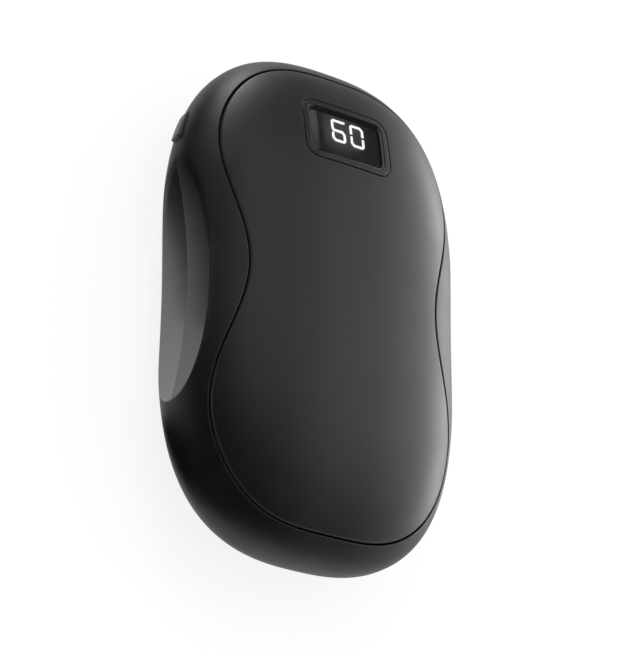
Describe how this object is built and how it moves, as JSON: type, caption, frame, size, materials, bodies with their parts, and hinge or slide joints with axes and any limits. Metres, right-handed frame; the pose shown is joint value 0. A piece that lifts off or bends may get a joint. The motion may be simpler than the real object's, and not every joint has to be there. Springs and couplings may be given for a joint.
{
  "type": "rechargeable hand warmer",
  "caption": "Pocket hand warmer shaped as a waisted pebble: heated panels on both faces, side grip scoops, a lit readout, a sprung power button and a charging socket.",
  "frame": {"origin": "centre of the flat on the back panel that the object rests on", "axes": "+X to the right seen from the front, +Y to the display end, +Z out of the front panel"},
  "size_m": [0.0608, 0.0999, 0.0273],
  "materials": {
    "shell_black": "soft-touch moulded, fine grain",
    "panel_black": "soft-touch moulded, finer grain",
    "ring_black": "satin moulded",
    "lens_smoke": "polished smoked sheet",
    "button_black": "satin moulded",
    "digit_white": "lit light guide",
    "housing_black": "moulded",
    "board_green": "solder mask",
    "chip_black": "moulded epoxy",
    "ferrite_grey": "sintered",
    "steel_bright": "plated",
    "tongue_black": "moulded",
    "connector_cream": "moulded",
    "pouch_silver": "laminated foil pouch",
    "foam_dark": "closed-cell foam",
    "film_amber": "polyimide film",
    "lead_red": "wire sleeve",
    "lead_black": "wire sleeve",
    "lead_white": "wire sleeve",
    "bead_black": "dipped bead"
  },
  "bodies": {
    "case": {"back_heater_film": "film_amber", "back_heater_lead_a": "lead_white", "back_heater_lead_b": "lead_white", "back_panel": "panel_black", "back_shell": "shell_black", "back_thermistor": "bead_black", "battery_cell": "pouch_silver", "battery_foam_back": "foam_dark", "battery_foam_front": "foam_dark", "battery_lead_black": "lead_black", "battery_lead_red": "lead_red", "battery_socket": "connector_cream", "button_switch": "housing_black", "case_screw_1": "steel_bright", "case_screw_2": "steel_bright", "case_screw_3": "steel_bright", "case_screw_4": "steel_bright", "cell_guard_board": "board_green", "charger_chip": "chip_black", "controller_chip": "chip_black", "display_bezel": "ring_black", "display_board": "board_green", "display_lens": "lens_smoke", "display_module": "housing_black", "display_ribbon": "film_amber", "front_heater_film": "film_amber", "front_heater_lead_a": "lead_white", "front_heater_lead_b": "lead_white", "front_panel": "panel_black", "front_shell": "shell_black", "front_thermistor": "bead_black", "lit_six": "digit_white", "lit_zero_lower": "digit_white", "lit_zero_upper": "digit_white", "main_board": "board_green", "power_coil": "ferrite_grey", "usb_socket_shell": "steel_bright", "usb_socket_tongue": "tongue_black"},
    "button": {"power_button": "button_black"},
    "plunger": {"switch_plunger": "button_black"}
  },
  "joints": [
    {"name": "button_press", "type": "slide", "parent": "case", "child": "button", "axis": [0.9555, -0.2949, 0], "range_m": [0, 0.0004], "stiffness_N_per_m": 2000},
    {"name": "plunger_press", "type": "slide", "parent": "case", "child": "plunger", "axis": [0.9555, -0.2949, 0], "range_m": [0, 0.0004]}
  ],
  "couplings": [
    {"joint": "plunger_press", "follows": "button_press", "ratio": 1}
  ]
}
